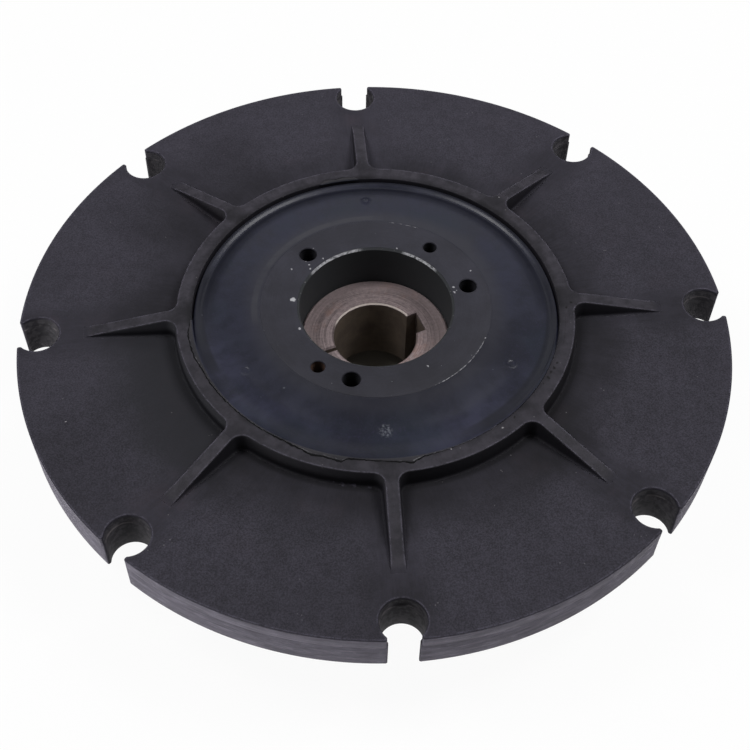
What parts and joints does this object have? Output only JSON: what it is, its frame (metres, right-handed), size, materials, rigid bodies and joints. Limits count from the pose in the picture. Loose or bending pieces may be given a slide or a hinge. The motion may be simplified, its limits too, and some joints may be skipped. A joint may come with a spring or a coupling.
{
  "type": "flexible drive coupling",
  "caption": "Round flexible flywheel coupling: a ribbed plastic flange with open edge notches, a bonded rubber ring, and a steel hub with a split taper bush and keyway.",
  "frame": {"origin": "On the shaft axis, at the plane of the three bush screw heads, on which the coupling stands.", "axes": "+Z along the shaft axis, from the flywheel side towards the ribbed side; +X through the middle of one edge notch."},
  "size_m": [0.3518, 0.3518, 0.0717],
  "materials": {
    "moulded_flange": "matte black glass-filled moulding",
    "rubber": "smooth satin blue-black rubber",
    "hub_steel": "satin blue-black coating, chipped at the edges",
    "bush_steel": "turned bare steel, slightly rusty",
    "screw_steel": "plated",
    "washer_steel": "dark spring steel"
  },
  "bodies": {
    "root": {"outer_flange": "moulded_flange", "rubber_ring": "rubber", "hub": "hub_steel", "taper_bush": "bush_steel", "bush_screw_1": "screw_steel", "bush_screw_2": "screw_steel", "bush_screw_3": "screw_steel", "lock_washer_1": "washer_steel", "lock_washer_2": "washer_steel", "lock_washer_3": "washer_steel"}
  },
  "joints": []
}
